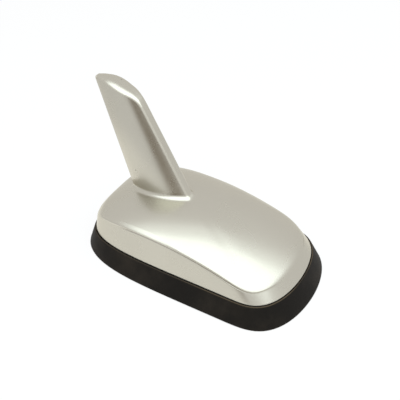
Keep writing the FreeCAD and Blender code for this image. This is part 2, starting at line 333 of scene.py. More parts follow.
def oblong(nose, tail, half_width, widest, bend, steps):
    """Half of a rounded-oblong ring, evenly spaced from the nose through +Y to the tail."""
    fine = []
    for step in range(FINE + 1):
        angle = math.pi * step / FINE
        across = math.sin(angle) if step < FINE else 0.0
        along = math.cos(angle)
        end, lengthwise, crosswise = (nose, *bend[:2]) if along >= 0 else (tail, *bend[2:])
        x = between(widest, end, abs(along) ** (2 / lengthwise))
        fine.append((x, half_width * across ** (2 / crosswise)))
    travel = [0.0]
    for before, after in zip(fine, fine[1:]):
        travel.append(travel[-1] + math.hypot(after[0] - before[0], after[1] - before[1]))
    points = []
    for number in range(steps + 1):
        place, share = find(travel, travel[-1] * number / steps)
        points.append(mix(fine[place], fine[place + 1], share))
    return points


def foot_ring(scene, inset):
    foot = scene.antenna_foot
    return oblong(foot.nose - inset, foot.tail + inset, foot.half_width - inset,
                  foot.widest_x, foot.bend, HALF)


def belt_ring(scene, inset):
    foot, shell = scene.antenna_foot, scene.antenna_shell
    return oblong(foot.nose - shell.belt_nose - inset, foot.tail + shell.belt_tail + inset,
                  foot.half_width - shell.belt_side - inset, foot.widest_x, shell.belt_bend, HALF)


def crease_ring(scene, inset, steps=HALF):
    foot, shell = scene.antenna_foot, scene.antenna_shell
    return oblong(foot.nose - shell.belt_nose - shell.crease_nose - inset,
                  foot.tail + shell.belt_tail + shell.crease_tail + inset,
                  foot.half_width - shell.belt_side - shell.crease_side - inset,
                  shell.crease_widest, shell.crease_bend, steps)


def level(ring, z):
    return [(x, y, z) for x, y in ring]


def both_sides(row):
    """A whole ring from the half with +Y."""
    return row + [(x, -y, z) for x, y, z in reversed(row[1:-1])]


def soft_step(low, high, value):
    share = min(max((value - low) / (high - low), 0.0), 1.0)
    return share * share * (3 - 2 * share)


class RoofForm:
    """Height of the crease and of the roof above any point of the plan."""

    def __init__(self, scene, inset=0.0):
        shell = scene.antenna_shell
        self.shell = shell
        self.inset = inset
        self.nose = scene.antenna_foot.nose - shell.belt_nose - shell.crease_nose
        self.tail = scene.antenna_foot.tail + shell.belt_tail + shell.crease_tail
        self.fine = crease_ring(scene, inset, FINE)
        self.bearings = [math.atan2(y, x - shell.roof_x) for x, y in self.fine]

    def ramp(self, distance):
        """Nothing behind the front corners and an even rise ahead of them, with a soft turn."""
        bend = self.shell.corner_bend
        return bend * math.log1p(math.exp(min(distance / bend, RAMP_LIMIT)))

    def fall(self, x):
        """Drop of the crease ahead of its peak, before it turns up at the front corners."""
        shell = self.shell
        share = max(0.0, x - shell.peak_x) / (shell.corner_x - shell.peak_x)
        return (shell.crease_peak - shell.crease_front) * share ** 2

    def crease(self, x):
        shell = self.shell
        lift = shell.crease_mid - shell.crease_peak + self.fall(self.nose)
        lift *= self.ramp(x - shell.corner_x) / self.ramp(self.nose - shell.corner_x)
        behind = max(0.0, shell.peak_x - x) / (shell.peak_x - self.tail)
        drop = (shell.crease_peak - shell.crease_back) * behind ** 2
        return shell.crease_peak - self.fall(x) + lift - drop - self.inset

    def fullness(self, bearing):
        shell = self.shell
        facing = math.cos(bearing)
        if facing > 0:
            shoulder = shell.full_shoulder * math.sin(2 * bearing) ** 2
            return between(shell.full_side, shell.full_front, facing ** NOSE_SPREAD) + shoulder
        return between(shell.full_side, shell.full_tail, (-facing) ** TAIL_SPREAD)

    def height(self, x, y):
        shell = self.shell
        bearing = math.atan2(abs(y), x - shell.roof_x)
        place, share = find(self.bearings, bearing)
        rim_x, rim_y = mix(self.fine[place], self.fine[place + 1], share)
        share = min(math.hypot(x - shell.roof_x, y) / math.hypot(rim_x - shell.roof_x, rim_y), 1.0)
        rise = (1 - share ** 2) ** (1 / self.fullness(bearing))
        return between(self.crease(rim_x), shell.roof_z - self.inset, rise)

    def above_crease(self, x, y, rise):
        """The point of the roof a given rise above the crease, in from a point of the crease ring."""
        shell = self.shell
        low = self.crease(x)
        high = shell.roof_z - self.inset
        power = self.fullness(math.atan2(y, x - shell.roof_x))
        share = math.sqrt(1 - (rise / (high - low)) ** power)
        return (between(shell.roof_x, x, share), share * y, low + rise)


class FinForm:
    """Side view, thickness and rounded edges of the fin."""

    def __init__(self, scene):
        fin = scene.antenna_fin
        self.fin = fin
        brow_z = fin.tip_z - fin.brow_drop
        corners = (
            Vector((self.trail(fin.base_z), fin.base_z)),
            Vector((self.trail(fin.tip_z), fin.tip_z)),
            Vector((self.trail(fin.tip_z) + fin.crest_ahead, fin.tip_z + fin.crest_rise)),
            Vector((self.lead(brow_z), brow_z)),
            Vector((self.lead(fin.base_z), fin.base_z)),
        )
        self.path = []
        self.middles = []
        self.trail_side = (self.trail, self.right_of(corners[1] - corners[0]), fin.trail_rake)
        self.lead_side = (self.lead, self.right_of(corners[4] - corners[3]), fin.lead_rake)
        self.path.append((corners[0], self.trail_side[1]))
        for number, radius in enumerate((fin.tip_round, fin.crest_round, fin.brow_round)):
            self.round_corner(*corners[number:number + 3], radius)
        self.path.append((corners[4], self.lead_side[1]))
        self.travel = [0.0]
        for before, after in zip(self.path, self.path[1:]):
            self.travel.append(self.travel[-1] + (after[0] - before[0]).length)
        self.tip_travel = self.travel[self.middles[0]]
        self.brow_travel = self.travel[self.middles[2]]

    @staticmethod
    def right_of(direction):
        return Vector((direction.y, -direction.x)).normalized()

    def round_corner(self, before, corner, after, radius):
        back = (before - corner).normalized()
        ahead = (after - corner).normalized()
        half = back.angle(ahead) / 2
        centre = corner + (back + ahead).normalized() * (radius / math.sin(half))
        start = corner + back * (radius / math.tan(half)) - centre
        end = corner + ahead * (radius / math.tan(half)) - centre
        sweep = math.pi - 2 * half
        self.middles.append(len(self.path) + ARC_STEPS // 2)
        for step in range(ARC_STEPS + 1):
            turned = sweep * step / ARC_STEPS
            arm = (start * math.sin(sweep - turned) + end * math.sin(turned)) / math.sin(sweep)
            self.path.append((centre + arm, -arm.normalized()))

    def trail(self, z):
        return self.fin.trail_x - (z - self.fin.trail_z) * self.fin.trail_rake

    def lead(self, z):
        return self.fin.lead_x + (self.fin.lead_z - z) * self.fin.lead_rake

    def half_thickness(self, x, z):
        fin = self.fin
        share = (x - self.trail(z)) / (self.lead(z) - self.trail(z))
        rise = (z - fin.base_z) / (fin.tip_z + fin.section_rise - fin.base_z)
        bulge = between(fin.half_foot, fin.half_top, rise) - (fin.half_trail + fin.half_lead) / 2
        return between(fin.half_trail, fin.half_lead, share) + bulge * 4 * share * (1 - share)

    def edge(self, point, inward, step):
        """Depth in from the outline, and half the thickness there, at a step across the rounded edge."""
        fin = self.fin
        thick = self.half_thickness(point.x, point.y)
        deeper = point + inward * PROBE
        slope = (self.half_thickness(deeper.x, deeper.y) - thick) / PROBE
        wanted = between(fin.edge_front, fin.edge_top, soft_step(*TOP_FACING, -inward.y))
        radius = min(wanted, EDGE_MOST * thick)
        centre = thick + slope * radius - radius * math.sqrt(1 + slope * slope)
        if step <= BAND_FLAT:
            return 0.0, centre * step / BAND_FLAT
        turn = math.pi / 2 - math.atan(slope)
        last = point + inward * (radius * (1 - math.cos(turn)))
        miss = self.half_thickness(last.x, last.y) - centre - radius * math.sin(turn)
        share = (step - BAND_FLAT) / BAND_ARC
        depth = radius * (1 - math.cos(turn * share))
        return depth, centre + radius * math.sin(turn * share) + miss * share ** 2

    def on_path(self, travelled):
        place, share = find(self.travel, travelled)
        before, after = self.path[place], self.path[place + 1]
        return before[0].lerp(after[0], share), before[1].lerp(after[1], share).normalized()

    def band_point(self, travelled, step):
        """Point of the band that runs over the trailing edge, the top and the leading face."""
        point, inward = self.on_path(travelled)
        depth, y = self.edge(point, inward, step)
        point = point + inward * depth
        return (point.x, y, point.y)

    def straight_edge(self, side, z, step):
        """Point of the band on one of the two straight edges, at a height."""
        line, inward, _ = side
        depth, y = self.edge(Vector((line(z), z)), inward, step)
        start_z = z - inward.y * depth
        return (line(start_z) + inward.x * depth, y, z)

    def climb(self, side, z, step):
        """How far up a straight edge the band's point at a height lies."""
        line, inward, rake = side
        depth, _ = self.edge(Vector((line(z), z)), inward, step)
        return (z - inward.y * depth - self.fin.base_z) * math.hypot(1, rake)

    def side_share(self, number):
        """Place of a side column between the leading and the trailing edge, closer together at both."""
        even = number / SIDE
        return between(even, (1 - math.cos(math.pi * even)) / 2, SIDE_CROWDING)

    def column(self, number, z):
        """Point of the fin's section at a height, counted from the middle of the leading face."""
        if number <= BAND:
            return self.straight_edge(self.lead_side, z, number)
        if number >= BAND + SIDE:
            return self.straight_edge(self.trail_side, z, HALF - number)
        front = self.straight_edge(self.lead_side, z, BAND)
        back = self.straight_edge(self.trail_side, z, BAND)
        x = between(front[0], back[0], self.side_share(number - BAND))
        return (x, self.half_thickness(x, z), z)


# Meshes

def mark_bends(work):
    """Keeps how sharply the surface bends at each point: above zero on edges, below zero in grooves."""
    layer = work.verts.layers.float.new("bend")
    for edge in work.edges:
        if len(edge.link_faces) != 2:
            continue
        centres = [face.calc_center_median() for face in edge.link_faces]
        bend = edge.calc_face_angle_signed(0.0) / max((centres[0] - centres[1]).length, SHORTEST)
        for point in edge.verts:
            if abs(bend) > abs(point[layer]):
                point[layer] = bend


class MeshMaker:
    """Collects rows of points and turns them into one closed, smooth mesh."""

    def __init__(self):
        self.points = []
        self.faces = []
        self.painted_shading = {}

    def add(self, row):
        start = len(self.points)
        self.points.extend(row)
        return range(start, start + len(row))

    def rings(self, rows, joined=False, closed=True):
        """Quads between rows; joined ties the last row to the first, closed a row's end to its start."""
        numbers = [self.add(row) for row in rows]
        if joined:
            numbers.append(numbers[0])
        for low, high in zip(numbers, numbers[1:]):
            for place in range(len(low) if closed else len(low) - 1):
                other = (place + 1) % len(low)
                self.faces.append((low[place], low[other], high[other], high[place]))
        return numbers

    def fan(self, ring, tip):
        top = self.add([tip])[0]
        for place, number in enumerate(ring):
            self.faces.append((number, ring[(place + 1) % len(ring)], top))

    def build(self, name, material, sharp=60.0):
        """The piece, with its points merged, faces outwards and edges sharp above an angle in degrees."""
        mesh = bpy.data.meshes.new(name)
        mesh.from_pydata(self.points, [], self.faces)
        # Kept per point: painted shade along the shell's crease, painted highlight along the gasket's lip
        painted_shading = mesh.attributes.new("painted_shading", "FLOAT", "POINT")
        for number, amount in self.painted_shading.items():
            painted_shading.data[number].value = amount
        work = bmesh.new()
        work.from_mesh(mesh)
        bmesh.ops.remove_doubles(work, verts=work.verts, dist=MERGE)
        bmesh.ops.dissolve_degenerate(work, edges=work.edges, dist=FLATTEN)
        bmesh.ops.recalc_face_normals(work, faces=work.faces)
        mark_bends(work)
        work.to_mesh(mesh)
        work.free()
        mesh.shade_smooth()
        mesh.set_sharp_from_angle(angle=math.radians(sharp))
        mesh.materials.append(material)
        piece = bpy.data.objects.new(name, mesh)
        bpy.context.scene.collection.objects.link(piece)
        return piece


def put_on(piece, node):
    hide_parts(node)
    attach(piece, "root")


def dress(node, material):
    """A solid whose shape is right keeps it and gets its finish."""
    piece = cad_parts[node]
    piece.data.materials.clear()
    piece.data.materials.append(material)


# Rows of the shell

def straight(first, last, steps):
    """Rows in a straight line from one row to another, without the last."""
    return [[mix(a, b, step / steps) for a, b in zip(first, last)] for step in range(steps)]


def rounding(first, corner, last, steps):
    """Rows round a corner from one row to another, without the last."""
    rows = zip(straight(first, corner, steps), straight(corner, last, steps))
    return [[mix(a, b, step / steps) for a, b in zip(*pair)] for step, pair in enumerate(rows)]


def rim_rows(scene, form):
    """Skirt, rim, groove and crease up to the roof, where the roof starts, and how much painted shade some
    rows carry.
    """
    shell = scene.antenna_shell
    tucked = belt_ring(scene, shell.tuck)
    bottoms = level(belt_ring(scene, 0.0), shell.belt_z)
    profiles = []
    for bottom, (x, y) in zip(bottoms, crease_ring(scene, 0.0)):
        tail = soft_step(*TAIL_SOFT, x)
        nose = (1 - soft_step(*NOSE_SIDE, y)) * soft_step(*NOSE_SOFT, x)
        rear = soft_step(*REAR_START, x) * (1 - soft_step(*REAR_END, x))
        below = between(shell.edge_soft, shell.edge_tail, tail) + (shell.edge_nose - shell.edge_soft) * nose
        above = max(below, between(shell.edge_soft, shell.edge_rear, rear))
        corner = (x, y, form.crease(x))
        start = form.above_crease(x, y, above)
        inward = Vector((start[0] - x, start[1] - y, 0)).normalized()
        depth = shell.groove_depth * soft_step(*GROOVE_START, x) * (1 - soft_step(*GROOVE_END, x))
        height = math.dist(corner, bottom)
        foot = mix(corner, bottom, min((below + shell.groove_height) / height, GROOVE_MOST))
        lip = mix(corner, bottom, min(below / height, CREASE_MOST))
        profiles.append((foot, lip, corner, start, inward * depth, soft_step(*CREASE_SHADE_START, x) * (1 - nose)))
    feet, lips, corners, starts, pushes, painted_shading = [list(line) for line in zip(*profiles)]
    rows = [level(tucked, shell.skirt_z)]
    lower = [mix(bottom, foot, RIM_FOOT) for bottom, foot in zip(bottoms, feet)]
    rows += rounding(level(tucked, shell.belt_z), bottoms, lower, ROUND_ROWS)
    rows += straight(lower, feet, RIM_ROWS)
    crease_shades = {}
    # Rows of the groove carry painted shade, growing to the full amount at its top under the crease
    for step, row in enumerate(straight(feet, lips, GROOVE_ROWS)):
        share = step / GROOVE_ROWS
        cut = CUT_SCALE * (1 - share) * share ** 2
        crease_shades[len(rows)] = [amount * share ** 2 for amount in painted_shading]
        rows.append([tuple(Vector(point) + push * cut) for point, push in zip(row, pushes)])
    crease_shades[len(rows)] = painted_shading
    rows += rounding(lips, corners, starts, CREASE_ROWS)
    return rows, starts, crease_shades


def foot_rows(scene, form, blade):
    """Rounding between the roof and the fin, from the roof upwards."""
    radius = scene.antenna_fin.foot_round
    heights = [scene.antenna_shell.roof_z] * (HALF + 1)
    normals = [Vector((1, 0))] * (HALF + 1)
    rows = []
    for step in range(FOOT_ROWS + 1):
        angle = math.pi / 2 * step / FOOT_ROWS
        out = radius * (1 - math.sin(angle))
        rise = radius * (1 - math.cos(angle))
        for repeat in range(FOOT_PASSES):
            ring = [blade.column(number, heights[number]) for number in range(HALF + 1)]
            for number in range(1, HALF):
                along = Vector(ring[number + 1][:2]) - Vector(ring[number - 1][:2])
                normals[number] = Vector((along.y, -along.x)).normalized()
            normals[HALF] = Vector((-1, 0))
            row = []
            for number, (x, y, z) in enumerate(ring):
                x += normals[number].x * out
                y += normals[number].y * out
                heights[number] = form.height(x, y) + rise
                row.append((x, y, heights[number]))
        rows.append(row)
    return rows, heights


def roof_rows(form, starts, ends):
    """Roof from the crease in to the foot of the fin, rows closer together where it is steep."""
    rows = [starts]
    for step in range(1, ROOF_ROWS):
        share = 1 - math.cos(math.pi / 2 * step / ROOF_ROWS)
        row = []
        for start, end in zip(starts, ends):
            x, y, _ = mix(start, end, share)
            row.append((x, y, form.height(x, y)))
        rows.append(row)
    return rows


def fin_rows(blade, heights):
    """Fin from the rounding at its foot up to the band over its top, and that band."""
    tip, brow = blade.tip_travel, blade.brow_travel
    end = blade.travel[-1]
    lead_starts = [end - blade.climb(blade.lead_side, heights[step], step) for step in range(BAND + 1)]
    trail_starts = [blade.climb(blade.trail_side, heights[HALF - step], step) for step in range(BAND + 1)]
    top_travel = [between(brow, tip, blade.side_share(number)) for number in range(SIDE + 1)]
    top = [blade.band_point(travelled, BAND) for travelled in top_travel]
    foot = [blade.column(BAND + number, heights[BAND + number]) for number in range(SIDE + 1)]
    rows = []
    for number in range(FIN_ROWS + 1):
        share = 1 - (1 - number / FIN_ROWS) ** TOP_CROWDING
        front = [blade.band_point(between(start, brow, share), step)
                 for step, start in enumerate(lead_starts)]
        back = [blade.band_point(between(start, tip, share), step)
                for step, start in enumerate(trail_starts)]
        row = list(front)
        for place in range(1, SIDE):
            across = blade.side_share(place)
            upright = mix(foot[place], top[place], share)
            level_line = mix(front[BAND], back[BAND], across)
            corners = mix(mix(foot[0], foot[SIDE], across), mix(top[0], top[SIDE], across), share)
            x = upright[0] + level_line[0] - corners[0]
            z = upright[2] + level_line[2] - corners[2]
            row.append((x, blade.half_thickness(x, z), z))
        row.extend(reversed(back))
        rows.append(row)
    cap = []
    for travelled in top_travel:
        half = [blade.band_point(travelled, step) for step in range(BAND + 1)]
        cap.append(list(reversed(half)) + [(x, -y, z) for x, y, z in half[1:]])
    return rows, cap


def inside_rows(scene):
    """Hollow of the shell, from the top of its roof down to the skirt."""
    shell = scene.antenna_shell
    form = RoofForm(scene, shell.wall)
    crease = crease_ring(scene, shell.wall)
    rows = []
    for share in INSIDE_SHARES:
        row = []
        for x, y in crease:
            inner_x = between(shell.roof_x, x, share)
            row.append((inner_x, share * y, form.height(inner_x, share * y)))
        rows.append(row)
    belt = belt_ring(scene, shell.wall)
    rows.append([(x, y, form.crease(x)) for x, y in crease])
    rows.append(level(belt, shell.belt_z))
    rows.append(level(belt, shell.skirt_z))
    return rows


# Shader maths

class Socket:
    """A shader value; arithmetic on it adds Math nodes."""

    def __init__(self, wiring, socket):
        self.wiring = wiring
        self.socket = socket

    def math(self, operation, first, second):
        node = self.wiring.node("ShaderNodeMath", {"operation": operation}, {0: first, 1: second})
        return Socket(self.wiring, node.outputs[0])

    def __add__(self, other):
        return self.math("ADD", self, other)

    __radd__ = __add__

    def __sub__(self, other):
        return self.math("SUBTRACT", self, other)

    def __rsub__(self, other):
        return self.math("SUBTRACT", other, self)

    def __mul__(self, other):
        return self.math("MULTIPLY", self, other)

    __rmul__ = __mul__

    def __pow__(self, other):
        return self.math("POWER", self, other)

    def at_most(self, other):
        return self.math("MINIMUM", self, other)


class Wiring:
    """The nodes of one tree."""

    def __init__(self, tree):
        self.tree = tree
        self.tree.nodes.clear()

    def node(self, kind, settings=None, sockets=None):
        node = self.tree.nodes.new(kind)
        for key, value in (settings or {}).items():
            setattr(node, key, value)
        for key, value in (sockets or {}).items():
            if isinstance(value, Socket):
                value = value.socket
            if isinstance(value, bpy.types.NodeSocket):
                self.tree.links.new(value, node.inputs[key])
            else:
                node.inputs[key].default_value = value
        return node

    def value(self, node, output=0):
        return Socket(self, node.outputs[output])

    def ray(self, kind):
        return self.value(self.node("ShaderNodeLightPath"), kind)

    def seen(self):
        """One where the camera sees a surface by itself, in gloss or through glass."""
        mirrored = self.ray("Is Glossy Ray") + self.ray("Is Transmission Ray")
        return (self.ray("Is Camera Ray") + mirrored).at_most(1.0)


class Finish(Wiring):
    """One material, built node by node."""

    def __init__(self, name):
        self.material = bpy.data.materials.new(name)
        self.material.use_nodes = True
        super().__init__(self.material.node_tree)

    def kept(self, name):
        """A value kept on the mesh: bend, how sharply it bends in 1/m; painted_shading, the share of
        painted shade on the shell's crease and of painted highlight on the gasket's lip.
        """
        return self.value(self.node("ShaderNodeAttribute", {"attribute_name": name}), "Fac")

    def place(self):
        return self.node("ShaderNodeTexCoord").outputs["Object"]

    def noise(self, scale, detail=3.0, roughness=0.55, shift=(0.0, 0.0, 0.0), stretch=(1.0, 1.0, 1.0)):
        spot = self.node("ShaderNodeMapping", None, {
            "Vector": self.place(), "Location": shift, "Scale": stretch})
        cloud = self.node("ShaderNodeTexNoise", None, {
            "Vector": spot.outputs[0], "Scale": scale, "Detail": detail, "Roughness": roughness})
        return self.value(cloud, "Fac")

    def window(self, value, low, high):
        """Zero below low and one above high, softly between."""
        node = self.node("ShaderNodeMapRange", {"interpolation_type": "SMOOTHSTEP"},
                         {"Value": value, "From Min": low, "From Max": high})
        return self.value(node)

    def blend(self, share, first, second):
        node = self.node("ShaderNodeMix", {"data_type": "RGBA"}, {0: share, 6: first, 7: second})
        return node.outputs[2]

    def bump(self, height, strength, distance):
        sockets = {"Height": height, "Strength": strength, "Distance": distance}
        return self.node("ShaderNodeBump", None, sockets).outputs[0]

    def surface(self, sockets):
        shader = self.node("ShaderNodeBsdfPrincipled", None, sockets)
        self.output(shader.outputs[0])
        return self.material

    def output(self, socket):
        self.node("ShaderNodeOutputMaterial", None, {"Surface": socket})


def tone(rgb, share=1.0):
    return (rgb[0] * share, rgb[1] * share, rgb[2] * share, 1.0)


def silver_paint(finishes):
    finish = Finish("silver_paint")
    rgb = finishes.silver
    flake = finish.noise(9000.0, 1.0, 0.5)
    cloud = finish.noise(38.0, 4.0, 0.55)
    base = finish.blend(finish.window(flake, 0.3, 0.7), tone(rgb, 0.95), tone(rgb, 1.05))
    base = finish.blend(finish.window(cloud, 0.35, 0.75) * 0.35, base, tone(rgb, 0.94))
    bend = finish.kept("bend")
    # Sharp edges are paler: partly worn paint, partly a painted highlight along the edges
    worn_and_highlit = finish.window(bend, *WORN_AND_HIGHLIT_BEND)
    base = finish.blend(worn_and_highlit * 0.7, base, tone(rgb, 1.35))
    # Grooves are darker: painted shade
    base = finish.blend(finish.window(0.0 - bend, *GROOVE_SHADE_BEND) * 0.7, base, tone(finishes.painted_groove_shade))
    # Painted shade under the crease, which is also rougher there
    painted_shading = finish.kept("painted_shading")
    base = finish.blend(painted_shading * 0.8, base, tone(finishes.painted_shading))
    grains = finish.node("ShaderNodeTexVoronoi", None, {"Vector": finish.place(), "Scale": 60.0})
    speck = 1.0 - finish.window(finish.value(grains, "Distance"), 0.012, 0.024)
    base = finish.blend(speck * 0.75, base, tone(finishes.speck))
    rough = 0.24 + finish.window(cloud, 0.3, 0.7) * 0.05 - worn_and_highlit * 0.04 + speck * 0.3 + painted_shading * 0.2
    peel = finish.bump(finish.noise(700.0, 2.0, 0.5), 0.04, 0.0002)
    return finish.surface({
        "Base Color": base, "Metallic": 0.93, "Roughness": rough, "Normal": peel,
        "Coat Weight": 0.2, "Coat Roughness": 0.10, "Specular Tint": tone(finishes.sheen),
    })


def black_rubber(finishes):
    finish = Finish("black_rubber")
    rgb = finishes.rubber
    grain = finish.noise(2600.0, 3.0, 0.6)
    cloud = finish.noise(34.0, 5.0, 0.65, (0.1, 0.0, 0.0))
    base = finish.blend(finish.window(cloud, 0.38, 0.72), tone(rgb, 0.7), tone(rgb, 2.4))
    # Sharp rubber edges are paler: a painted highlight; they are also a little smoother
    highlit_edges = finish.window(finish.kept("bend"), *HIGHLIT_EDGE_BEND)
    base = finish.blend(highlit_edges * 0.8, base, tone(rgb, 5.5))
    # Painted highlight along the gasket's lip
    base = finish.blend(finish.kept("painted_shading") * 0.8, base, tone(finishes.lip_highlight))
    rough = 0.58 + grain * 0.14 - highlit_edges * 0.12
    return finish.surface({
        "Base Color": base, "Roughness": rough, "Normal": finish.bump(grain, 0.25, 0.0001),
        "Specular IOR Level": 0.11,
    })


def black_plastic(rgb):
    finish = Finish("black_plastic")
    grain = finish.noise(3200.0, 2.0, 0.5)
    base = finish.blend(finish.noise(90.0), tone(rgb, 0.85), tone(rgb, 1.25))
    relief = finish.bump(grain, 0.35, 0.0001)
    return finish.surface({"Base Color": base, "Roughness": 0.42 + grain * 0.2, "Normal": relief})


def zinc_steel(rgb):
    finish = Finish("zinc_steel")
    streak = finish.noise(900.0, 2.0, 0.5, stretch=(1.0, 1.0, 6.0))
    base = finish.blend(streak, tone(rgb, 0.85), tone(rgb, 1.1))
    return finish.surface({"Base Color": base, "Metallic": 1.0, "Roughness": 0.28 + streak * 0.15})


def grey_foam(rgb):
    finish = Finish("grey_foam")
    cells = finish.noise(2200.0, 4.0, 0.7)
    base = finish.blend(cells, tone(rgb, 0.7), tone(rgb, 1.3))
    relief = finish.bump(cells, 0.5, 0.0003)
    return finish.surface({"Base Color": base, "Roughness": 0.92, "Normal": relief})


# Operators

class ANTENNA_OT_build_shell(bpy.types.Operator):
    """Silver shell: skirt, rim, crease, roof and fin as one moulding"""
    bl_idname = "antenna.build_shell"
    bl_label = "Build shell"

    def execute(self, context):
        scene = context.scene
        shell = scene.antenna_shell
        form = RoofForm(scene)
        blade = FinForm(scene)
        rim, starts, crease_shades = rim_rows(scene, form)
        foot, heights = foot_rows(scene, form, blade)
        roof = roof_rows(form, starts, foot[0])
        fin, cap = fin_rows(blade, heights)
        inside = inside_rows(scene)
        maker = MeshMaker()
        rows = [both_sides(row) for row in inside + rim + roof + foot + fin[1:]]
        numbers = maker.rings(rows)
        # Painted shade along the crease, on both halves
        for place, half in crease_shades.items():
            whole = half + half[-2:0:-1]
            maker.painted_shading.update(zip(numbers[len(inside) + place], whole))
        maker.fan(numbers[0], (shell.roof_x, 0.0, shell.roof_z - shell.wall))
        maker.rings(cap, closed=False)
        piece = maker.build("silver_shell", silver_paint(scene.antenna_finishes))
        put_on(piece, "antenna_shell")
        return {"FINISHED"}


class ANTENNA_OT_build_gasket(bpy.types.Operator):
    """Black rubber ring: flared foot, thin lip, seat for the shell and recess for the plate"""
    bl_idname = "antenna.build_gasket"
    bl_label = "Build gasket"

    def execute(self, context):
        scene = context.scene
        sizes = scene.antenna_gasket
        seat_z = scene.antenna_shell.skirt_z
        tread = level(foot_ring(scene, sizes.tread), 0.0)
        foot = level(foot_ring(scene, 0.0), 0.0)
        lip = level(belt_ring(scene, -sizes.clearance - sizes.lip), sizes.top)
        low, high = [[mix(a, b, share) for a, b in zip(foot, lip)] for share in FLANK]
        crown = level(belt_ring(scene, -sizes.clearance - CROWN * sizes.lip), sizes.top)
        inner = belt_ring(scene, -sizes.clearance)
        shoulder = level(inner, sizes.top - sizes.shoulder)
        flange = belt_ring(scene, sizes.flange_inset)
        recess = foot_ring(scene, sizes.plate_inset)
        rows = rounding(tread, foot, low, ROUND_ROWS) + straight(low, high, FLANK_ROWS)
        lip_row = len(rows)
        rows += rounding(high, lip, crown, ROUND_ROWS)
        rows += rounding(crown, level(inner, sizes.top), shoulder, SHOULDER_ROWS)
        rows += [shoulder, level(inner, seat_z), level(flange, seat_z)]
        rows += [level(flange, sizes.flange_bottom), level(recess, sizes.flange_bottom), level(recess, 0.0)]
        maker = MeshMaker()
        numbers = maker.rings([both_sides(row) for row in rows], joined=True)
        # Painted highlight along the crown of the lip, towards the nose
        lip_highlight = [LIP_HIGHLIGHT * soft_step(*LIP_HIGHLIGHT_START, x) * soft_step(*LIP_HIGHLIGHT_SIDE, abs(y))
                for x, y, z in both_sides(lip)]
        for row in numbers[lip_row + 2:lip_row + ROUND_ROWS]:
            maker.painted_shading.update(zip(row, lip_highlight))
        piece = maker.build("gasket_ring", black_rubber(scene.antenna_finishes))
        put_on(piece, "rubber_gasket")
        return {"FINISHED"}


class ANTENNA_OT_finish_plate(bpy.types.Operator):
    """Moulded black plastic on the base plate"""
    bl_idname = "antenna.finish_plate"
    bl_label = "Finish plate"

    def execute(self, context):
        dress("base_plate", black_plastic(context.scene.antenna_finishes.plastic))
        return {"FINISHED"}


class ANTENNA_OT_finish_pad(bpy.types.Operator):
    """Foam tape on the adhesive pad"""
    bl_idname = "antenna.finish_pad"
    bl_label = "Finish pad"

    def execute(self, context):
        dress("adhesive_pad", grey_foam(context.scene.antenna_finishes.foam))
        return {"FINISHED"}


def screw_template(sizes):
    """One screw, head down at the origin, with a cross recess and a cut thread."""
    rows = []

    def ring(radius, z, shape=None):
        row = []
        for number in range(SCREW_COLUMNS):
            angle = 2 * math.pi * number / SCREW_COLUMNS
            r, height = (radius, z) if shape is None else shape(angle, radius, z)
            row.append((r * math.cos(angle), r * math.sin(angle), height))
        rows.append(row)

    def cross(angle, radius, z):
        x, y = abs(radius * math.cos(angle)), abs(radius * math.sin(angle))
        arm = 1 - soft_step(*RECESS_WALL, min(x, y) / sizes.recess_width)
        reach = 1 - soft_step(RECESS_END, 1.0, max(x, y) / sizes.recess_reach)
        return radius, sizes.recess_depth * arm * reach

    def thread(angle, radius, z):
        turn = (z / sizes.pitch - angle / (2 * math.pi)) % 1.0
        fade = min((sizes.head_depth + sizes.shank_length - z) / sizes.pitch, 1.0)
        ridge = max(0.0, 1 - abs(turn - 0.5) / RIDGE)
        return between(sizes.core_radius, sizes.shank_radius, ridge) * max(fade, THREAD_TIP), z

    for number in range(HEAD_RINGS + 1):
        ring(sizes.head_radius * between(HEAD_MIDDLE, HEAD_RIM, number / HEAD_RINGS), 0.0, cross)
    ring(sizes.head_radius, sizes.head_edge)
    ring(sizes.shank_radius, sizes.head_depth)
    for number in range(1, THREAD_RINGS + 1):
        along = sizes.shank_length * number / THREAD_RINGS * THREAD_END
        ring(sizes.shank_radius, sizes.head_depth + along, thread)
    maker = MeshMaker()
    numbers = maker.rings(rows)
    maker.fan(numbers[0], (0.0, 0.0, sizes.recess_depth))
    maker.fan(numbers[-1], (0.0, 0.0, sizes.head_depth + sizes.shank_length))
    return maker


def screw_tree(material):
    """Puts one screw on each corner of a rectangle."""
    tree = bpy.data.node_groups.new("screw_rectangle", "GeometryNodeTree")
    tree.interface.new_socket("Geometry", in_out="INPUT", socket_type="NodeSocketGeometry")
    named = {}
    for name in ("Length", "Width", "Middle", "Seat"):
        socket = tree.interface.new_socket(name, in_out="INPUT", socket_type="NodeSocketFloat")
        named[name] = socket.identifier
    tree.interface.new_socket("Geometry", in_out="OUTPUT", socket_type="NodeSocketGeometry")
    wiring = Wiring(tree)
    given = wiring.node("NodeGroupInput").outputs
    corners = wiring.node("GeometryNodeMeshGrid", None, {
        "Vertices X": 2, "Vertices Y": 2, "Size X": given["Length"], "Size Y": given["Width"]})
    offset = wiring.node("ShaderNodeCombineXYZ", None, {"X": given["Middle"], "Z": given["Seat"]})
    moved = wiring.node("GeometryNodeTransform", None, {
        "Geometry": corners.outputs["Mesh"], "Translation": offset.outputs[0]})
    copies = wiring.node("GeometryNodeInstanceOnPoints", None, {
        "Points": moved.outputs[0], "Instance": given["Geometry"]})
    real = wiring.node("GeometryNodeRealizeInstances", None, {0: copies.outputs[0]})
    painted = wiring.node("GeometryNodeSetMaterial", None, {
        "Geometry": real.outputs[0], "Material": material})
    wiring.node("NodeGroupOutput", None, {0: painted.outputs[0]})
    return tree, named


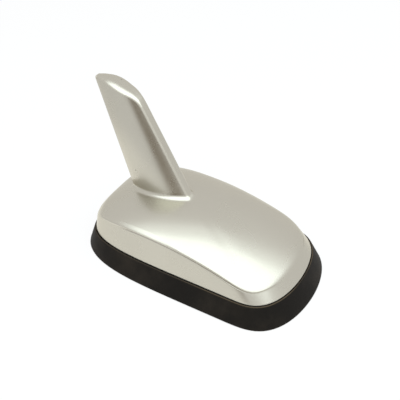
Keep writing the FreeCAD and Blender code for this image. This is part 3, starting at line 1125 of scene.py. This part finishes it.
class ANTENNA_OT_build_screws(bpy.types.Operator):
    """Countersunk screws under the plate, one at each corner of a rectangle"""
    bl_idname = "antenna.build_screws"
    bl_label = "Build screws"

    def execute(self, context):
        scene = context.scene
        sizes = scene.antenna_screws
        material = zinc_steel(scene.antenna_finishes.steel)
        template = screw_template(sizes).build("screw_template", material, sharp=35.0)
        tree, named = screw_tree(material)
        nodes = template.modifiers.new("screw_rectangle", "NODES")
        nodes.node_group = tree
        nodes[named["Length"]] = sizes.front_x - sizes.rear_x
        nodes[named["Width"]] = 2 * sizes.half_gap
        nodes[named["Middle"]] = (sizes.front_x + sizes.rear_x) / 2
        nodes[named["Seat"]] = sizes.seat_z
        evaluated = template.evaluated_get(context.evaluated_depsgraph_get())
        mesh = bpy.data.meshes.new_from_object(evaluated)
        template.modifiers.remove(nodes)
        bpy.data.objects.remove(template)
        piece = bpy.data.objects.new("countersunk_screws", mesh)
        scene.collection.objects.link(piece)
        put_on(piece, "plate_screws")
        return {"FINISHED"}


def floor_finish(stage):
    """Pale floor, white to the camera; only reflections show its bright middle and its dim patch."""
    finish = Finish("studio_floor")
    glossy = finish.ray("Is Glossy Ray")
    spot = finish.node("ShaderNodeSeparateXYZ", None, {0: finish.place()})
    ahead = finish.value(spot, 0) - DIM_CENTRE[0]
    side = DIM_CENTRE[1] - finish.value(spot, 1)
    turn = ahead.math("ARCTAN2", ahead, side)
    reach = (ahead * ahead + side * side) ** 0.5
    dim = finish.window(turn, *DIM_FROM) * (1.0 - finish.window(turn, *DIM_TO))
    dim = dim * finish.window(reach, *DIM_REACH) * glossy
    near = (1.0 - finish.window(reach, *NEAR_REACH)) * glossy
    tint = finish.blend(near, WHITE, NEAR_GLOW)
    tint = finish.blend(dim, tint, tone(stage.dim_patch))
    matte = finish.node("ShaderNodeBsdfDiffuse", None, {"Color": FLOOR_MATTE})
    glow = finish.node("ShaderNodeEmission", None, {"Color": tint, "Strength": 1.0})
    share = finish.seen() * FLOOR_GLOW + dim * (1 - FLOOR_GLOW)
    both = finish.node("ShaderNodeMixShader", None, {0: share, 1: matte.outputs[0], 2: glow.outputs[0]})
    finish.output(both.outputs[0])
    return finish.material


def surround(scene, strength):
    """White surround to the camera and in reflections, even soft light elsewhere."""
    world = bpy.data.worlds.new("studio_surround")
    scene.world = world
    world.use_nodes = True
    wiring = Wiring(world.node_tree)
    even = wiring.node("ShaderNodeBackground", None, {"Color": WHITE, "Strength": strength})
    white = wiring.node("ShaderNodeBackground", None, {"Color": WHITE})
    both = wiring.node("ShaderNodeMixShader", None, {
        0: wiring.seen(), 1: even.outputs[0], 2: white.outputs[0]})
    wiring.node("ShaderNodeOutputWorld", None, {"Surface": both.outputs[0]})


def ceiling_lamp(scene, stage, name, power, margin):
    """A large soft panel overhead that faces straight down."""
    lamp = bpy.data.lights.new(name, "AREA")
    lamp.shape = "RECTANGLE"
    lamp.size = stage.key_size[0] + 2 * margin
    lamp.size_y = stage.key_size[1] + 2 * margin
    lamp.energy = power
    lamp.color = stage.key_tint
    holder = bpy.data.objects.new(name, lamp)
    holder.location = stage.key_place
    holder.rotation_euler = (0.0, 0.0, math.radians(stage.key_turn))
    scene.collection.objects.link(holder)


class ANTENNA_OT_set_stage(bpy.types.Operator):
    """Floor, surround, lamps and camera"""
    bl_idname = "antenna.set_stage"
    bl_label = "Set stage"

    def execute(self, context):
        scene = context.scene
        stage = scene.antenna_stage
        scene.view_settings.view_transform = "Standard"
        reach = stage.floor_size
        mesh = bpy.data.meshes.new("studio_floor")
        corners = ((-reach, -reach), (reach, -reach), (reach, reach), (-reach, reach))
        mesh.from_pydata(level(corners, -FLOOR_DROP), [], [(0, 1, 2, 3)])
        mesh.materials.append(floor_finish(stage))
        floor = bpy.data.objects.new("studio_floor", mesh)
        scene.collection.objects.link(floor)
        surround(scene, stage.sky)
        ceiling_lamp(scene, stage, "key_lamp", stage.key_power, 0.0)
        ceiling_lamp(scene, stage, "halo_lamp", stage.halo_power, stage.halo_reach)
        lens = bpy.data.cameras.new("camera")
        lens.lens = stage.lens
        lens.sensor_width = 36.0
        lens.clip_start = 0.01
        lens.clip_end = 50.0
        camera = bpy.data.objects.new("camera", lens)
        turn, rise = math.radians(stage.azimuth), math.radians(stage.elevation)
        back = Vector((math.sin(turn), -math.cos(turn), math.tan(rise))).normalized()
        camera.location = Vector(stage.aim) + back * stage.distance
        camera.rotation_euler = (-back).to_track_quat("-Z", "Y").to_euler()
        scene.collection.objects.link(camera)
        scene.camera = camera
        return {"FINISHED"}


STEPS = (
    ANTENNA_OT_build_shell,
    ANTENNA_OT_build_gasket,
    ANTENNA_OT_finish_plate,
    ANTENNA_OT_build_screws,
    ANTENNA_OT_finish_pad,
    ANTENNA_OT_set_stage,
)


class ANTENNA_PT_panel(bpy.types.Panel):
    """Lists the antenna's pieces and their sizes"""
    bl_idname = "ANTENNA_PT_panel"
    bl_label = "Roof antenna"
    bl_space_type = "VIEW_3D"
    bl_region_type = "UI"
    bl_category = "Antenna"

    def draw(self, context):
        for step in STEPS:
            self.layout.operator(step.bl_idname)
        for name, group in GROUPS.items():
            box = self.layout.box()
            box.label(text=group.__doc__)
            for key in group.__annotations__:
                box.prop(getattr(context.scene, name), key)


def register():
    for group in GROUPS.values():
        bpy.utils.register_class(group)
    for name, group in GROUPS.items():
        setattr(bpy.types.Scene, name, PointerProperty(type=group))
    for step in STEPS:
        bpy.utils.register_class(step)
    bpy.utils.register_class(ANTENNA_PT_panel)


def unregister():
    bpy.utils.unregister_class(ANTENNA_PT_panel)
    for step in reversed(STEPS):
        bpy.utils.unregister_class(step)
    for name in GROUPS:
        delattr(bpy.types.Scene, name)
    for group in GROUPS.values():
        bpy.utils.unregister_class(group)


def main():
    register()
    bpy.ops.antenna.build_shell()
    bpy.ops.antenna.build_gasket()
    bpy.ops.antenna.finish_plate()
    bpy.ops.antenna.build_screws()
    bpy.ops.antenna.finish_pad()
    bpy.ops.antenna.set_stage()


if __name__ == "__main__":
    main()
